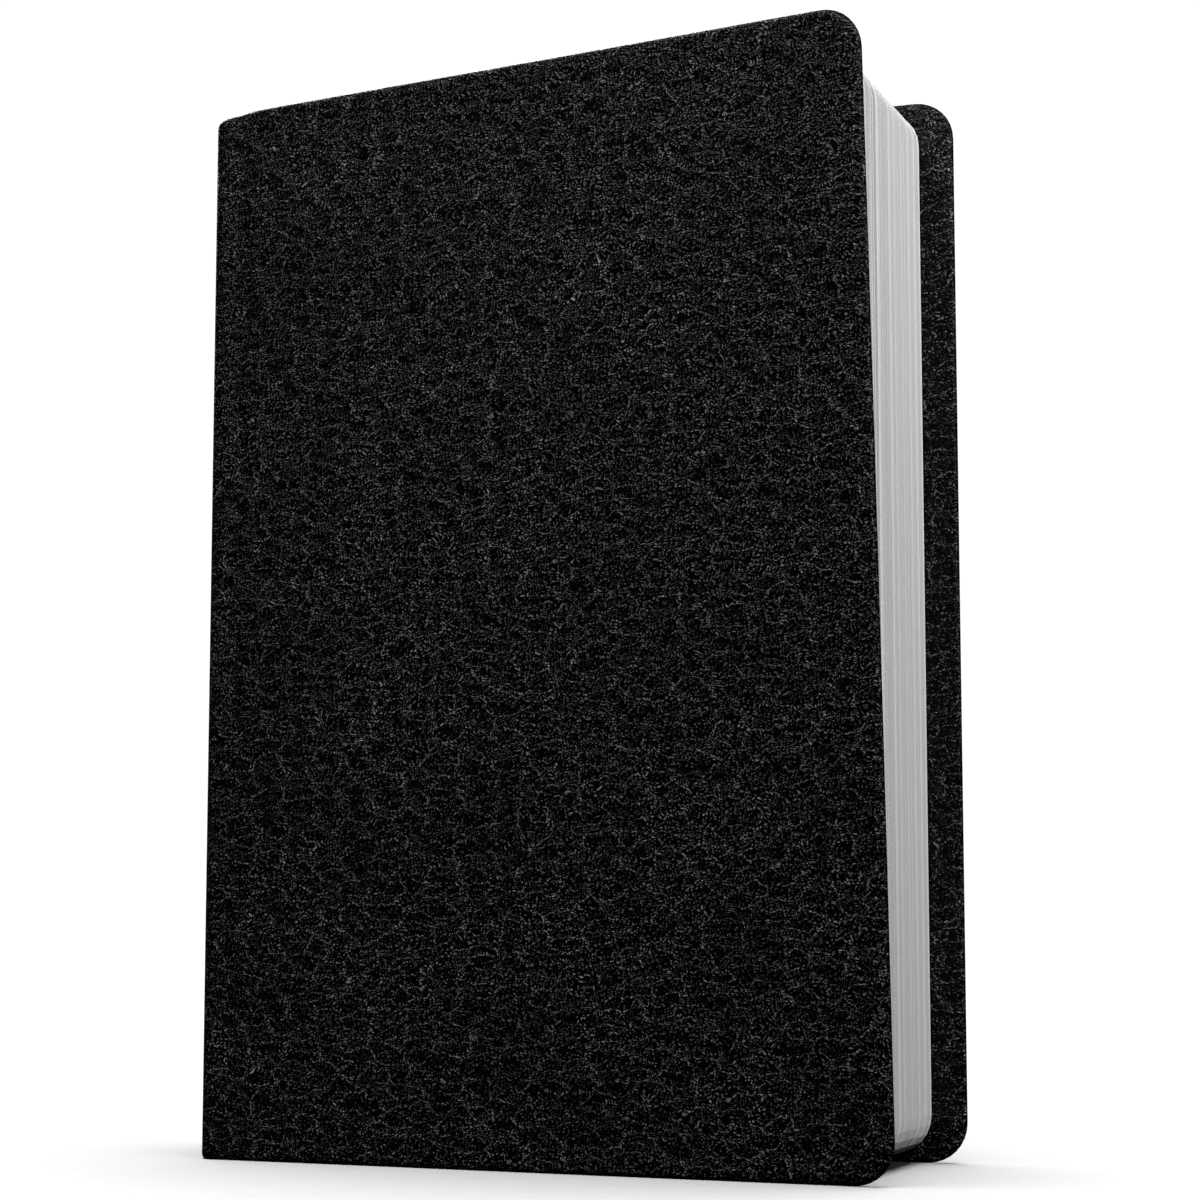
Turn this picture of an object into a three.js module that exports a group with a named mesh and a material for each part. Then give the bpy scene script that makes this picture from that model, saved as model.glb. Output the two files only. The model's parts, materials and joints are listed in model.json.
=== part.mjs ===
import * as THREE from 'three';

// Prayer book with a flexible leather cover, standing on its tail.
// While it is being built: +X from the hinge line to the fore-edge, +Y from the front cover to the
// back cover, +Z from tail to head, with both hinge lines at x = 0. Millimetres.

// Covers
const coverHeight = 229;
const coverWidth = 154;
const coverCornerRadius = 8.5;
const skinThickness = 0.9;
const stiffenerThickness = 0.5;
const pastedownThickness = 0.2;
const glueGap = 0.2;
const hingeGap = 0.3;
const stiffenerMargin = 1.5;
const pastedownMargin = 12;
const squareCornerRadius = 0.5;
const jointWidth = 4;

// Front cover, slightly open and more so at the head than at the tail
const tailOpening = THREE.MathUtils.degToRad( 5.5 );
const coverTwist = THREE.MathUtils.degToRad( 4.3 );

// Spine: a flattened round, drawn as half of a superellipse
const spineDepth = 6;
const spineSquareness = 2.6;
const spineStiffenerThickness = 0.4;
const liningThickness = 0.2;
const mullThickness = 0.2;

// Leaves
const foreEdgeSquare = 7.4;
const headSquare = 2;
const leafCornerRadius = 8;
const flyleafThickness = 0.2;
const leafClearance = 0.3;
const sectionThickness = 2.5;
const sectionGap = 0.2;
const sectionCount = 15;
const foldReach = 2.5;
const turningRoom = 4.75;
const leafStart = foldReach + turningRoom;

// Share of the cover's angle that each turning section takes, outermost first
const turningShares = [ 0.5, 0.4, 0.3, 0.2, 0.1 ];
const flyleafShare = 0.85;

// Sewing and bands
const tapeWidth = 10;
const tapeThickness = 0.4;
const tapeCount = 3;
const threadRadius = 0.25;
const kettleInset = 12;
const bandRadius = 0.8;

// Share of its half of the spine that each layer covers, measured from the middle
const stiffenerReach = 0.9;
const liningReach = 0.92;
const tapeReach = 0.86;
const kettleReach = 0.88;
const bandReach = 0.94;

// How finely curves are divided
const cornerSteps = 5;
const spineSteps = 24;
const twistColumns = 12;
const twistRows = 20;
const threadSides = 8;
const bandSides = 10;

// Derived places
const coverThickness = skinThickness + stiffenerThickness + pastedownThickness + 2 * glueGap;
const flyleafOffset = coverThickness + leafClearance;
const blockOffset = flyleafOffset + flyleafThickness + leafClearance;
const sectionPitch = sectionThickness + sectionGap;
const bookThickness = 2 * blockOffset + sectionCount * sectionPitch;
const middle = bookThickness / 2;
const leafEdge = coverWidth - foreEdgeSquare;
const leafTail = headSquare;
const leafHead = coverHeight - headSquare;

// Depth of each spine layer below the outer face of the leather
const stiffenerInset = skinThickness + glueGap;
const liningInset = stiffenerInset + spineStiffenerThickness + glueGap;
const mullInset = liningInset + liningThickness + glueGap;
const tapeInset = mullInset + mullThickness + leafClearance;
const foldInset = tapeInset + tapeThickness + leafClearance;

const leather = { color: 0x141416, roughness: 0.5, metalness: 0 };
const board = { color: 0x8d8371, roughness: 0.9, metalness: 0 };
const paper = { color: 0xd9d9d6, roughness: 0.85, metalness: 0 };
const endpaper = { color: 0xe9e8e3, roughness: 0.85, metalness: 0 };
const kraft = { color: 0xb08e62, roughness: 0.9, metalness: 0 };
const cloth = { color: 0xd8d2c2, roughness: 0.95, metalness: 0 };
const bandCloth = { color: 0x2a2a2c, roughness: 0.8, metalness: 0 };
const thread = { color: 0xefeadd, roughness: 0.8, metalness: 0 };

const book = new THREE.Group();

function addPiece( name, geometry, finish, parent = book ) {

	const mesh = new THREE.Mesh( geometry, new THREE.MeshStandardMaterial( finish ) );
	mesh.name = name;
	parent.add( mesh );
	return mesh;

}

// Heights of a sheet's rows: close together round the two fore-edge corners, even in between.
function rowHeights( tail, head, radius, straightRows ) {

	const corner = [];
	for ( let i = 0; i <= cornerSteps; i ++ ) {

		corner.push( radius * ( 1 - Math.cos( i * Math.PI / 2 / cornerSteps ) ) );

	}

	const straight = [];
	for ( let i = 1; i < straightRows; i ++ ) {

		straight.push( THREE.MathUtils.lerp( tail + radius, head - radius, i / straightRows ) );

	}

	return [
		...corner.map( ( rise ) => tail + rise ),
		...straight,
		...corner.reverse().map( ( rise ) => head - rise ),
	];

}

// A sheet with square corners at the fold and round ones at the fore-edge.
function sheet( { fold, edge, front, back, tail, head, radius, columns = 1, straightRows = 1 } ) {

	const heights = rowHeights( tail, head, radius, straightRows );
	const geometry = new THREE.BoxGeometry( 1, 1, 1, columns, 1, heights.length - 1 );
	const position = geometry.attributes.position;
	for ( let i = 0; i < position.count; i ++ ) {

		const row = Math.round( ( position.getZ( i ) + 0.5 ) * ( heights.length - 1 ) );
		const z = heights[ row ];
		const cornerDepth = Math.max( 0, radius - Math.min( z - tail, head - z ) );
		const reach = edge - radius + Math.sqrt( Math.max( 0, radius ** 2 - cornerDepth ** 2 ) );
		const x = THREE.MathUtils.lerp( fold, reach, position.getX( i ) + 0.5 );
		const y = position.getY( i ) < 0 ? front : back;
		position.setXYZ( i, x, y, z );

	}

	return geometry;

}

// Opens a front cover sheet about the hinge line, further at the head than at the tail.
function openCover( geometry ) {

	const position = geometry.attributes.position;
	const point = new THREE.Vector3();
	const up = new THREE.Vector3( 0, 0, 1 );
	for ( let i = 0; i < position.count; i ++ ) {

		point.fromBufferAttribute( position, i );
		point.applyAxisAngle( up, - tailOpening - coverTwist * point.z / coverHeight );
		position.setXYZ( i, point.x, point.y, point.z );

	}

	return geometry;

}

// One layer of a cover, measured inwards from its outer face. The front cover's is then opened.
function coverLayer( side, { fold, margin, depth, thickness } ) {

	const front = side === 'front' ? depth : bookThickness - depth - thickness;
	const geometry = sheet( {
		fold,
		edge: coverWidth - margin,
		front,
		back: front + thickness,
		tail: margin,
		head: coverHeight - margin,
		radius: Math.max( coverCornerRadius - margin, squareCornerRadius ),
		columns: side === 'front' ? twistColumns : 1,
		straightRows: side === 'front' ? twistRows : 1,
	} );
	return side === 'front' ? openCover( geometry ) : geometry;

}

// How far the spine stands behind the hinge line at y, for a layer this deep in the leather.
function spineX( inset, y ) {

	const across = Math.min( 1, Math.abs( y - middle ) / ( middle - inset ) );
	return - ( spineDepth - inset ) * ( 1 - across ** spineSquareness ) ** ( 1 / spineSquareness );

}

// Points along one depth of the spine, from the front to the back, closer together at the ends.
function spineLine( inset, reach ) {

	const points = [];
	for ( let i = 0; i <= spineSteps; i ++ ) {

		const y = middle - ( middle - inset ) * reach * Math.cos( i * Math.PI / spineSteps );
		points.push( new THREE.Vector2( Math.min( spineX( inset, y ), - hingeGap ), y ) );

	}

	return points;

}

// A layer that follows the spine between two depths.
function spineLayer( { inset, thickness, reach, tail, head } ) {

	const outline = [ ...spineLine( inset, reach ), ...spineLine( inset + thickness, reach ).reverse() ];
	const geometry = new THREE.ExtrudeGeometry( new THREE.Shape( outline ), {
		depth: head - tail, bevelEnabled: false,
	} );
	return geometry.translate( 0, 0, tail );

}

// A round rod that follows the spine at one height.
function spineRod( { inset, radius, reach, height, sides } ) {

	const route = spineLine( inset, reach ).map( ( point ) => new THREE.Vector3( point.x, point.y, height ) );
	const section = new THREE.Shape();
	for ( let i = 0; i < sides; i ++ ) {

		const angle = i * 2 * Math.PI / sides;
		if ( i === 0 ) section.moveTo( radius, 0 );
		else section.lineTo( radius * Math.cos( angle ), radius * Math.sin( angle ) );

	}

	return new THREE.ExtrudeGeometry( section, {
		steps: spineSteps, bevelEnabled: false, extrudePath: new THREE.CatmullRomCurve3( route ),
	} );

}

// Covers: leather outside, a thin stiffener, and the half of the endpaper that is glued down.
for ( const side of [ 'front', 'back' ] ) {

	addPiece( `${ side }_cover_leather`, coverLayer( side, {
		fold: hingeGap, margin: 0, depth: 0, thickness: skinThickness,
	} ), leather );
	addPiece( `${ side }_cover_stiffener`, coverLayer( side, {
		fold: jointWidth, margin: stiffenerMargin, depth: stiffenerInset, thickness: stiffenerThickness,
	} ), board );
	addPiece( `${ side }_pastedown`, coverLayer( side, {
		fold: jointWidth, margin: pastedownMargin,
		depth: stiffenerInset + stiffenerThickness + glueGap, thickness: pastedownThickness,
	} ), endpaper );

}

// Spine: leather, its card stiffener, and the two linings glued over the folds.
addPiece( 'spine_leather', spineLayer( {
	inset: 0, thickness: skinThickness, reach: 1, tail: 0, head: coverHeight,
} ), leather );
addPiece( 'spine_stiffener', spineLayer( {
	inset: stiffenerInset, thickness: spineStiffenerThickness, reach: stiffenerReach,
	tail: leafTail, head: leafHead,
} ), board );
addPiece( 'spine_paper_lining', spineLayer( {
	inset: liningInset, thickness: liningThickness, reach: liningReach, tail: leafTail, head: leafHead,
} ), kraft );
addPiece( 'spine_mull', spineLayer( {
	inset: mullInset, thickness: mullThickness, reach: liningReach, tail: leafTail, head: leafHead,
} ), cloth );

// Sewing tapes, evenly spaced up the spine
for ( let i = 1; i <= tapeCount; i ++ ) {

	const height = THREE.MathUtils.lerp( leafTail, leafHead, i / ( tapeCount + 1 ) );
	addPiece( `sewing_tape_${ i }`, spineLayer( {
		inset: tapeInset, thickness: tapeThickness, reach: tapeReach,
		tail: height - tapeWidth / 2, head: height + tapeWidth / 2,
	} ), cloth );

}

// Kettle stitches, which link the sections near the tail and the head
const kettleStitches = {
	kettle_stitch_tail: leafTail + kettleInset,
	kettle_stitch_head: leafHead - kettleInset,
};
for ( const [ name, height ] of Object.entries( kettleStitches ) ) {

	addPiece( name, spineRod( {
		inset: tapeInset + tapeThickness / 2, radius: threadRadius, reach: kettleReach, height,
		sides: threadSides,
	} ), thread );

}

// Bands, which close the spine at both ends of the leaves
const bandHeights = {
	tailband: leafTail - glueGap - bandRadius,
	headband: leafHead + glueGap + bandRadius,
};
for ( const [ name, height ] of Object.entries( bandHeights ) ) {

	addPiece( name, spineRod( {
		inset: skinThickness + 2 * glueGap + bandRadius, radius: bandRadius, reach: bandReach, height,
		sides: bandSides,
	} ), bandCloth );

}

// Leaves with the same outline, from a fold to the fore-edge
function leaves( fold, front, thickness ) {

	return sheet( {
		fold, edge: leafEdge, front, back: front + thickness,
		tail: leafTail, head: leafHead, radius: leafCornerRadius,
	} );

}

// Flyleaves turn about the hinge lines; the front one has followed its cover part of the way.
const frontFlyleaf = new THREE.Group();
frontFlyleaf.rotation.z = - flyleafShare * tailOpening;
book.add( frontFlyleaf );
const backFlyleafFront = bookThickness - flyleafOffset - flyleafThickness;
addPiece( 'front_flyleaf', leaves( jointWidth, flyleafOffset, flyleafThickness ), endpaper, frontFlyleaf );
addPiece( 'back_flyleaf', leaves( jointWidth, backFlyleafFront, flyleafThickness ), endpaper );

// Sections: the outer ones are a sewn fold and the leaves that turn about it, the inner ones are whole.
for ( let i = 0; i < sectionCount; i ++ ) {

	const number = String( i + 1 ).padStart( 2, '0' );
	const front = blockOffset + sectionGap / 2 + i * sectionPitch;
	const centre = front + sectionThickness / 2;
	const outermost = centre < middle ? front : front + sectionThickness;
	const foldBack = spineX( foldInset, outermost );
	const place = Math.min( i, sectionCount - 1 - i );
	const share = turningShares[ place ];

	if ( share === undefined ) {

		addPiece( `section_${ number }`, leaves( foldBack, front, sectionThickness ), paper );
		continue;

	}

	const fold = new THREE.BoxGeometry( foldReach - foldBack, sectionThickness, leafHead - leafTail );
	fold.translate( ( foldReach + foldBack ) / 2, centre, ( leafHead + leafTail ) / 2 );
	addPiece( `section_${ number }_fold`, fold, paper );

	const turning = new THREE.Group();
	turning.position.y = centre;
	turning.rotation.z = centre < middle ? - share * tailOpening : 0;
	book.add( turning );
	const turningLeaves = leaves( leafStart, - sectionThickness / 2, sectionThickness );
	addPiece( `section_${ number }_leaves`, turningLeaves, paper, turning );

}

// The origin is under the middle of the book, on the surface it stands on.
const object = new THREE.Group();
object.add( book );
object.updateMatrixWorld( true );
const box = new THREE.Box3().setFromObject( book, true );
book.position.set( - ( box.min.x + box.max.x ) / 2, - ( box.min.y + box.max.y ) / 2, - box.min.z );

export default object;
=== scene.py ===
import json
import math

import bmesh
import bpy
import numpy as np
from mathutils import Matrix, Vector


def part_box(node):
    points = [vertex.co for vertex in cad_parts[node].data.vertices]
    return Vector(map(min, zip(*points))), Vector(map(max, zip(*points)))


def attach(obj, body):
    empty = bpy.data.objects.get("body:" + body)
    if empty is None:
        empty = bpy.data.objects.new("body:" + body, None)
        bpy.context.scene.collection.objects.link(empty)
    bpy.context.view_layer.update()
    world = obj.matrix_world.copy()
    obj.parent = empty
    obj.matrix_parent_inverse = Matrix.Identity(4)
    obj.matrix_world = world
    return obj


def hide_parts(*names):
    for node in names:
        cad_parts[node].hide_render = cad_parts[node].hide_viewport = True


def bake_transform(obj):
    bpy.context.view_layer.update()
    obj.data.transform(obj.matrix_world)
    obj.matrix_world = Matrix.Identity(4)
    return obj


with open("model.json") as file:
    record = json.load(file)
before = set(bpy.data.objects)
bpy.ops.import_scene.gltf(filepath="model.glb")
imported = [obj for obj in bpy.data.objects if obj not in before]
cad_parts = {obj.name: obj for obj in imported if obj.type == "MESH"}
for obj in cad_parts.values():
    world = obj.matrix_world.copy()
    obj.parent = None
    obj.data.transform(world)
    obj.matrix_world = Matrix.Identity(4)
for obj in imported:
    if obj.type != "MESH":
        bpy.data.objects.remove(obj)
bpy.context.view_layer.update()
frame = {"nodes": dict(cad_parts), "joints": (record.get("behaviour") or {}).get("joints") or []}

# ---------------------------------------------------------------------------------------------
# Camera
# Low and to the right of the open cover, a little over half a metre off, looking slightly up.
# ---------------------------------------------------------------------------------------------
MM = 0.001
joints = {j["name"]: j for j in frame["joints"]}
front_hinge = Vector(joints["front_cover_hinge"]["pos_m"])
back_hinge = Vector(joints["back_cover_hinge"]["pos_m"])

lens_length, sensor_width = 84.8, 36
camera_from_hinge = Vector((288.8, -546.6, 49.6)) * MM
look_up, look_left = 6.57, 20.14

camera_data = bpy.data.cameras.new("camera")
camera_data.lens = lens_length
camera_data.sensor_width = sensor_width
camera = bpy.data.objects.new("camera", camera_data)
camera.location = front_hinge + camera_from_hinge
camera.rotation_euler = (math.radians(90 + look_up), 0, math.radians(look_left))
bpy.context.scene.collection.objects.link(camera)
bpy.context.scene.camera = camera

# ---------------------------------------------------------------------------------------------
# Surface the book stands on
# A wide sheet of matte white card, lit evenly by a lamp of its own so that it stays pale. It is
# kept out of reflections, as black flags beside the lens would do.
# ---------------------------------------------------------------------------------------------
card_radius, card_sides = 3.0, 64
card_fibres_per_metre = 900.0


def linear(hex_colour):
    """sRGB hex to the linear colour that shaders use."""
    channels = [int(hex_colour[i:i + 2], 16) / 255 for i in (1, 3, 5)]
    return tuple(c / 12.92 if c <= 0.04045 else ((c + 0.055) / 1.055) ** 2.4 for c in channels) + (1,)


def add_node(tree, kind, inputs=None, **settings):
    """Adds one node: settings are its own properties, inputs are values or the sockets that feed it."""
    node = tree.nodes.new(kind)
    for name, value in settings.items():
        setattr(node, name, value)
    for socket, value in (inputs or {}).items():
        if isinstance(value, bpy.types.NodeSocket):
            tree.links.new(value, node.inputs[socket])
        else:
            node.inputs[socket].default_value = value
    return node


def new_material(name):
    """An empty node material, its tree and its surface shader."""
    material = bpy.data.materials.new(name)
    material.use_nodes = True
    tree = material.node_tree
    tree.nodes.clear()
    shader = add_node(tree, "ShaderNodeBsdfPrincipled")
    add_node(tree, "ShaderNodeOutputMaterial", {"Surface": shader.outputs["BSDF"]})
    return material, tree, shader


def new_object(name, mesh):
    """Puts a mesh in the scene as an object at the origin."""
    made = bpy.data.objects.new(name, mesh)
    bpy.context.scene.collection.objects.link(made)
    return made


# Matte card: a very faint fibre tone, no sheen.
white_card, tree, shader = new_material("matte_white_card")
card_tone = add_node(tree, "ShaderNodeTexNoise", {"Scale": card_fibres_per_metre, "Detail": 2.0})
card_colour = add_node(tree, "ShaderNodeMix", {0: card_tone.outputs["Fac"], 6: linear("#f4f4f4"),
                                               7: linear("#fbfbfb")}, data_type="RGBA")
tree.links.new(card_colour.outputs[2], shader.inputs["Base Color"])
shader.inputs["Roughness"].default_value = 0.9
shader.inputs["Specular IOR Level"].default_value = 0.0

card_mesh = bpy.data.meshes.new("white_card")
card_rim = [(card_radius * math.cos(2 * math.pi * i / card_sides),
             card_radius * math.sin(2 * math.pi * i / card_sides), 0) for i in range(card_sides)]
card_mesh.from_pydata(card_rim, [], [tuple(range(card_sides))])
card_mesh.materials.append(white_card)
card = new_object("white_card", card_mesh)
card.visible_glossy = False
card.visible_diffuse = False

# ---------------------------------------------------------------------------------------------
# Studio light
# A soft box high in front for the cover, one beside the fore-edge, a wide one behind for the
# spine and the back, and an overhead lamp that lights the card alone.
# ---------------------------------------------------------------------------------------------


def add_light(name, place, target, size, watts):
    """A square soft box at a place, facing a target point."""
    data = bpy.data.lights.new(name, "AREA")
    data.shape = "SQUARE"
    data.size = size
    data.energy = watts
    light = bpy.data.objects.new(name, data)
    light.location = place
    light.rotation_euler = (Vector(target) - Vector(place)).to_track_quat("-Z", "Y").to_euler()
    bpy.context.scene.collection.objects.link(light)
    return light


# Places and sizes are in metres, and the last number is the power in watts.
book_middle = (0, 0, 0.12)
soft_boxes = [
    add_light("key_soft_box", (-0.75, -1.2, 2.19), book_middle, 0.68, 50),
    add_light("side_soft_box", (0.55, -0.3, 0.62), book_middle, 0.35, 7.0),
    add_light("back_soft_box", (-0.9, 1.1, 1.2), book_middle, 0.9, 26)]

card_lamp_strength, card_lamp_spread = 3.85, 60
card_lamp_data = bpy.data.lights.new("card_lamp", "SUN")
card_lamp_data.energy = card_lamp_strength
card_lamp_data.angle = math.radians(card_lamp_spread)
card_lamp = bpy.data.objects.new("card_lamp", card_lamp_data)
bpy.context.scene.collection.objects.link(card_lamp)
lit_by_card_lamp = bpy.data.collections.new("lit_by_card_lamp")
lit_by_card_lamp.objects.link(card)
card_lamp.light_linking.receiver_collection = lit_by_card_lamp
lit_by_soft_boxes = bpy.data.collections.new("lit_by_soft_boxes")
lit_by_soft_boxes.objects.link(card)
lit_by_soft_boxes.collection_objects[0].light_linking.link_state = "EXCLUDE"
for light in soft_boxes:
    light.light_linking.receiver_collection = lit_by_soft_boxes

# The surround looks white past the edge of the card and gives the book hardly any light. The
# standard view keeps that white and the leather's black as they are.
light_given, white_seen = 0.02, 1.05
world = bpy.data.worlds.new("studio_surround")
world.use_nodes = True
sky = world.node_tree
sky.nodes.clear()
seen = add_node(sky, "ShaderNodeLightPath")
strength = add_node(sky, "ShaderNodeMapRange", {"Value": seen.outputs["Is Camera Ray"],
                                                "To Min": light_given, "To Max": white_seen})
surround = add_node(sky, "ShaderNodeBackground", {"Color": linear("#ffffff"),
                                                  "Strength": strength.outputs[0]})
add_node(sky, "ShaderNodeOutputWorld", {"Surface": surround.outputs[0]})
bpy.context.scene.world = world
bpy.context.scene.view_settings.view_transform = "Standard"

# ---------------------------------------------------------------------------------------------
# Leather case
# One piece of soft black grained leather from fore-edge to fore-edge round the spine, turned in
# over thin boards along the tail, the fore-edges and the head. Each half has a flexing strip at its hinge
# line, and the front half is drawn bent there.
# ---------------------------------------------------------------------------------------------
spine_low, spine_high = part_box("spine_leather")
back_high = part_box("back_cover_leather")[1]
book_thickness = back_hinge.y - front_hinge.y
book_height = spine_high.z - spine_low.z
spine_depth = front_hinge.x - spine_low.x
cover_width = back_high.x - back_hinge.x
spine_squareness = 2.6
cover_corner = 8.5 * MM
skin = 0.9 * MM
case_depth = 1.95 * MM
turn_in = 14 * MM
turn_in_thickness = 0.3 * MM
board_pocket = 1.2 * MM
flex_width = 8 * MM
edge_steps, corner_steps = 8, 8
flex_columns, cover_columns, cover_rows = 11, 30, 40
outer_rings, inner_rings = (9 * MM, 5 * MM, 2.4 * MM), (2.4 * MM, 6 * MM, 10 * MM)
chamfer = 0.1 * MM
cap_start, cap_depth, cap_blend = 12 * MM, 3.2 * MM, 40 * MM
swell_height = 0.16 * MM

quarter = np.linspace(0, math.pi / 2, 600)
round_x = -spine_depth * np.cos(quarter) ** (2 / spine_squareness)
round_y = book_thickness / 2 * (1 - np.sin(quarter) ** (2 / spine_squareness))
round_length = np.concatenate([[0], np.cumsum(np.hypot(np.diff(round_x), np.diff(round_y)))])
half_spine = round_length[-1]
half_width = half_spine + cover_width


def front_opening(height):
    """How far the front cover stands open at each height, read off the CAD cover's fore-edge."""
    return np.interp(height, opening_heights, opening_angles)


# The opening is read at nine levels and carried on in a straight line to the tail and the head.
level_band, edge_band = 8 * MM, 2 * MM
cover_points = np.array([v.co for v in frame["nodes"]["front_cover_leather"].data.vertices])
cover_points[:, :2] -= np.array(front_hinge)[:2]
reach = np.hypot(cover_points[:, 0], cover_points[:, 1])
opening_heights, opening_angles = [], []
for height in np.linspace(0.1, 0.9, 9) * book_height:
    near_level = abs(cover_points[:, 2] - height) < level_band
    level = cover_points[near_level & (reach > cover_width - edge_band)]
    angles = np.arctan2(-level[:, 1], level[:, 0])
    highest = int(np.argmax(angles))
    opening_heights.append(level[highest, 2])
    opening_angles.append(angles[highest])
slope, at_tail = np.polyfit(opening_heights, opening_angles, 1)
opening_heights = [0.0, book_height]
opening_angles = [at_tail, at_tail + slope * book_height]


def smooth_share(distance, width):
    """0 at the hinge line, 1 once past the flexing strip, with the same easing as a blended piece."""
    share = np.clip(distance / width, 0, 1)
    return share * share * (3 - 2 * share)


def front_point(x, depth, z, share=1.0, width=flex_width):
    """Where a point of the front cover, flyleaf or leaves lies at rest, in the row frame."""
    turn = front_opening(z) * share * smooth_share(x, width)
    return (front_hinge.x + x * math.cos(turn) + depth * math.sin(turn),
            front_hinge.y - x * math.sin(turn) + depth * math.cos(turn), z)


def cover_swell(x, z):
    """The slight waviness of a soft cover, nothing at the hinge and under half a millimetre anywhere."""
    broad = math.sin(x / (31 * MM) + 0.6) * math.cos(z / (47 * MM) + 0.4)
    slanting = 0.6 * math.sin(x / (17 * MM) - z / (60 * MM))
    return swell_height * (broad + slanting) * smooth_share(x - 2 * MM, 30 * MM)


def cap_drop(along, z):
    """How far the head edge is worked down over the headband, which rounds the spine's shoulders."""
    into = min(max((half_spine + cap_start - along) / (cap_start + spine_depth), 0), 1)
    upper = smooth_share(z - (book_height - cap_blend), cap_blend)
    return cap_depth * (1 - math.sqrt(1 - into * into)) * upper


def case_point(side, along, depth, z):
    """A point of the case: along is its distance round the leather from the middle of the spine."""
    z = z - cap_drop(along, z)
    if along <= half_spine:
        x = np.interp(along, round_length, round_x)
        y = np.interp(along, round_length, round_y)
        step = 0.05 * MM
        before, after = max(along - step, 0), min(along + step, half_spine)
        run = Vector((np.interp(after, round_length, round_x) - np.interp(before, round_length, round_x),
                      np.interp(after, round_length, round_y) - np.interp(before, round_length, round_y)))
        if along < step:
            run = Vector((0, -1))
        run.normalize()
        place = (front_hinge.x + x - run.y * depth, front_hinge.y + y + run.x * depth, z)
    else:
        x = along - half_spine
        if side == "front":
            return front_point(x, depth + cover_swell(x, z), z)
        place = (front_hinge.x + x, front_hinge.y + depth, z)
    if side == "front":
        return place
    return (place[0], 2 * front_hinge.y + book_thickness - place[1], z)


def border(inset, columns, rows):
    """The three real edges of half a case, this far in: tail, fore-edge and head, with round corners."""
    radius = max(cover_corner - inset, 0)
    low, high, edge = inset, book_height - inset, half_width - inset
    points = [(s, low) for s in columns]
    arc = [i * math.pi / 2 / corner_steps for i in range(corner_steps + 1)]
    points += [(edge - radius + radius * math.sin(a), low + radius - radius * math.cos(a)) for a in arc]
    points += [(edge, z) for z in rows]
    points += [(edge - radius + radius * math.cos(a), high - radius + radius * math.sin(a)) for a in arc]
    points += [(s, high) for s in reversed(columns)]
    return points


def case_profile():
    """Inset and depth of each line round the case's edge, from the outer face in to the board pocket."""
    bulge = case_depth / 2
    lines = [(turn_in, 0)] + [(inset, 0) for inset in outer_rings]
    for i in range(edge_steps + 1):
        turn = math.pi * i / edge_steps
        lines.append((bulge * (1 - math.sin(turn)), bulge * (1 - math.cos(turn))))
    under_turn_in = case_depth - turn_in_thickness
    lines += [(inset, case_depth) for inset in inner_rings]
    lines += [(turn_in - 3 * chamfer, case_depth), (turn_in, case_depth - chamfer),
              (turn_in, under_turn_in), (2 * MM, under_turn_in),
              (board_pocket, under_turn_in - chamfer), (board_pocket, skin + chamfer),
              (2 * MM, skin), (turn_in, skin)]
    return lines


def half_case(side):
    """Half of the leather case as a closed mesh, with a map of the flat leather on it in metres."""
    columns = list(np.arange(0, half_spine - 1 * MM, 1 * MM))
    columns += list(np.linspace(half_spine, half_spine + flex_width, flex_columns))
    columns += list(np.linspace(half_spine + flex_width, half_width - turn_in, cover_columns)[1:])
    rows = list(np.linspace(turn_in, book_height - turn_in, cover_rows))
    mesh = bmesh.new()
    flat = mesh.loops.layers.uv.new("flat_leather")
    inner_side = mesh.faces.layers.int.new("inner_side")
    outer_flat, inner_flat = {}, {}

    def add_vertex(along, depth, z, outer, inner):
        vertex = mesh.verts.new(case_point(side, along, depth, z))
        outer_flat[vertex], inner_flat[vertex] = outer, inner
        return vertex

    def add_face(corners, inside):
        face = mesh.faces.new(corners)
        face.smooth = True
        face[inner_side] = inside

    # The map runs over the edge as far as its middle; past that it is measured from the inner side.
    lines = case_profile()
    lengths = [0] + [math.hypot(b[0] - a[0], b[1] - a[1]) for a, b in zip(lines, lines[1:])]
    walked = np.cumsum(lengths)
    flat_lines = 1 + len(outer_rings)
    middle = flat_lines + edge_steps // 2
    first_inner = flat_lines + edge_steps + 1
    inner_start = lines[first_inner][0] - walked[first_inner]
    rings = []
    for k, (inset, depth) in enumerate(lines):
        beyond = inset if k > first_inner else inner_start + walked[k]
        outer_map = border(turn_in - walked[k], columns, rows)
        inner_map = border(beyond, columns, rows)
        rings.append([add_vertex(s, depth, z, outer, (inner[0] + book_height, inner[1]))
                      for (s, z), outer, inner in zip(border(inset, columns, rows), outer_map, inner_map)])
    for k, (outer, inner) in enumerate(zip(rings, rings[1:])):
        for i in range(len(outer) - 1):
            add_face((outer[i], outer[i + 1], inner[i + 1], inner[i]), int(k >= middle))
    for inside, depth in enumerate((0, skin)):
        grid = [[add_vertex(s, depth, z, (s, z), (s + book_height, z)) for z in rows] for s in columns]
        for left, right in zip(grid, grid[1:]):
            for i in range(len(rows) - 1):
                add_face((left[i], right[i], right[i + 1], left[i + 1]), inside)
    # On the back half it runs the other way, so the grain goes on past the middle of the spine.
    onward = -1 if side == "back" else 1
    for face in mesh.faces:
        chosen = inner_flat if face[inner_side] else outer_flat
        for loop in face.loops:
            run, up = chosen[loop.vert]
            loop[flat].uv = (onward * run, up)
    bmesh.ops.remove_doubles(mesh, verts=mesh.verts, dist=0.002 * MM)
    cut = [e for e in mesh.edges if e.is_boundary]
    for edge in cut:
        edge.smooth = False
    bmesh.ops.triangulate(mesh, faces=bmesh.ops.edgeloop_fill(mesh, edges=cut)["faces"])
    bmesh.ops.recalc_face_normals(mesh, faces=mesh.faces)
    data = bpy.data.meshes.new(f"{side}_leather_case")
    mesh.to_mesh(data)
    mesh.free()
    return new_object(f"{side}_leather_case", data)


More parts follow.
